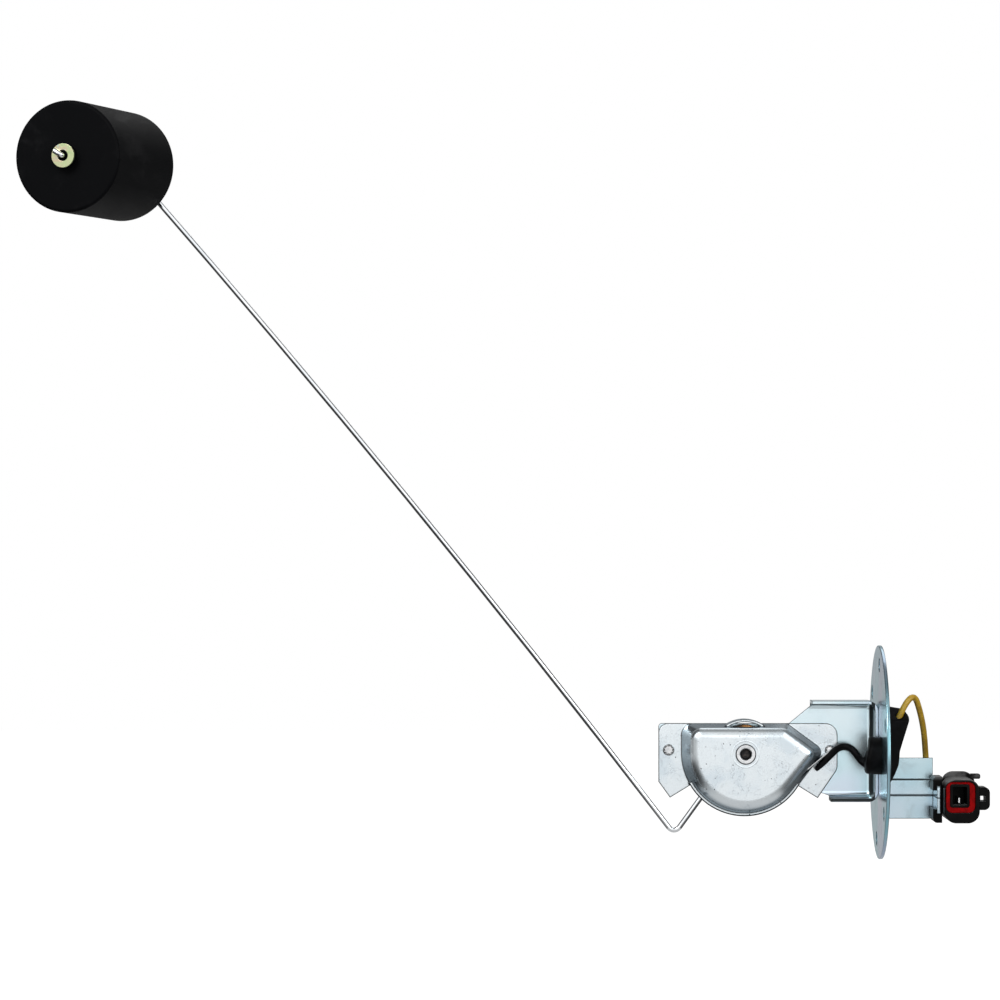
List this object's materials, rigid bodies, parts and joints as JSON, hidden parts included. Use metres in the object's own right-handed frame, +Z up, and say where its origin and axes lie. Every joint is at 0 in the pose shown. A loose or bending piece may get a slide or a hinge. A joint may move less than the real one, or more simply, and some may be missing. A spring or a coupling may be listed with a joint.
{
  "type": "fuel level sender",
  "caption": "Flange-mounted fuel level sender with a drawn sensor housing, a bent wire arm, a cylindrical rubber float and a sealed connector.",
  "frame": {"origin": "centre of the mounting flange's tank-side face, on the bolt circle's axis", "axes": "+X out of the tank along the bolt circle's axis, +Z up as fitted, the arm swings about Y"},
  "size_m": [0.3759, 0.0995, 0.2941],
  "materials": {
    "zinc_plate": "blue-white zinc plating, satin",
    "housing_zinc": "dull zinc plating with small pits",
    "bright_wire": "bright drawn wire",
    "turned_steel": "plain turned steel",
    "yellow_zinc": "yellow chromate on zinc",
    "float_rubber": "satin closed-cell rubber",
    "grommet_rubber": "satin",
    "seal_rubber": "dark red, satin",
    "black_plastic": "satin moulding",
    "natural_plastic": "natural acetal",
    "board": "laminated board",
    "winding_wire": "fine resistance wire",
    "spring_bronze": "spring bronze",
    "lead_yellow": "lead insulation",
    "sleeve_black": "soft sleeve"
  },
  "bodies": {
    "sender": {"mounting_flange": "zinc_plate", "support_bracket": "zinc_plate", "sensor_housing": "housing_zinc", "housing_rivet_left": "zinc_plate", "housing_rivet_right": "zinc_plate", "pivot_bush_front": "turned_steel", "pivot_bush_rear": "turned_steel", "spacer_washer": "turned_steel", "resistor_card": "board", "resistor_winding": "winding_wire", "card_holder": "board", "card_rivets": "turned_steel", "terminal_tab": "turned_steel", "lead_sleeve": "sleeve_black", "inner_lead": "spring_bronze", "feedthrough_grommet": "grommet_rubber", "connector_bracket": "zinc_plate", "connector_clip": "black_plastic", "connector_body": "black_plastic", "connector_seal": "seal_rubber", "connector_terminal": "turned_steel", "wire_seal": "seal_rubber", "signal_lead": "lead_yellow"},
    "arm": {"float_arm": "bright_wire", "arm_carrier": "natural_plastic", "wiper": "spring_bronze", "wiper_contact": "spring_bronze", "wiper_rivet": "spring_bronze", "pivot_shaft": "turned_steel", "spring_washer": "turned_steel", "float_washer_rear": "yellow_zinc", "float_washer_front": "yellow_zinc"},
    "float_body": {"float": "float_rubber"}
  },
  "joints": [
    {"name": "arm_swing", "type": "hinge", "parent": "sender", "child": "arm", "pos_m": [-0.0523, 0, -0.0006], "axis": [0, -1, 0], "range_deg": [-8, 92]},
    {"name": "float_spin", "type": "hinge", "parent": "arm", "child": "float_body", "pos_m": [-0.30603, -0.02557, 0.23059], "axis": [-0.3057, -0.9521, 0], "continuous": true}
  ]
}
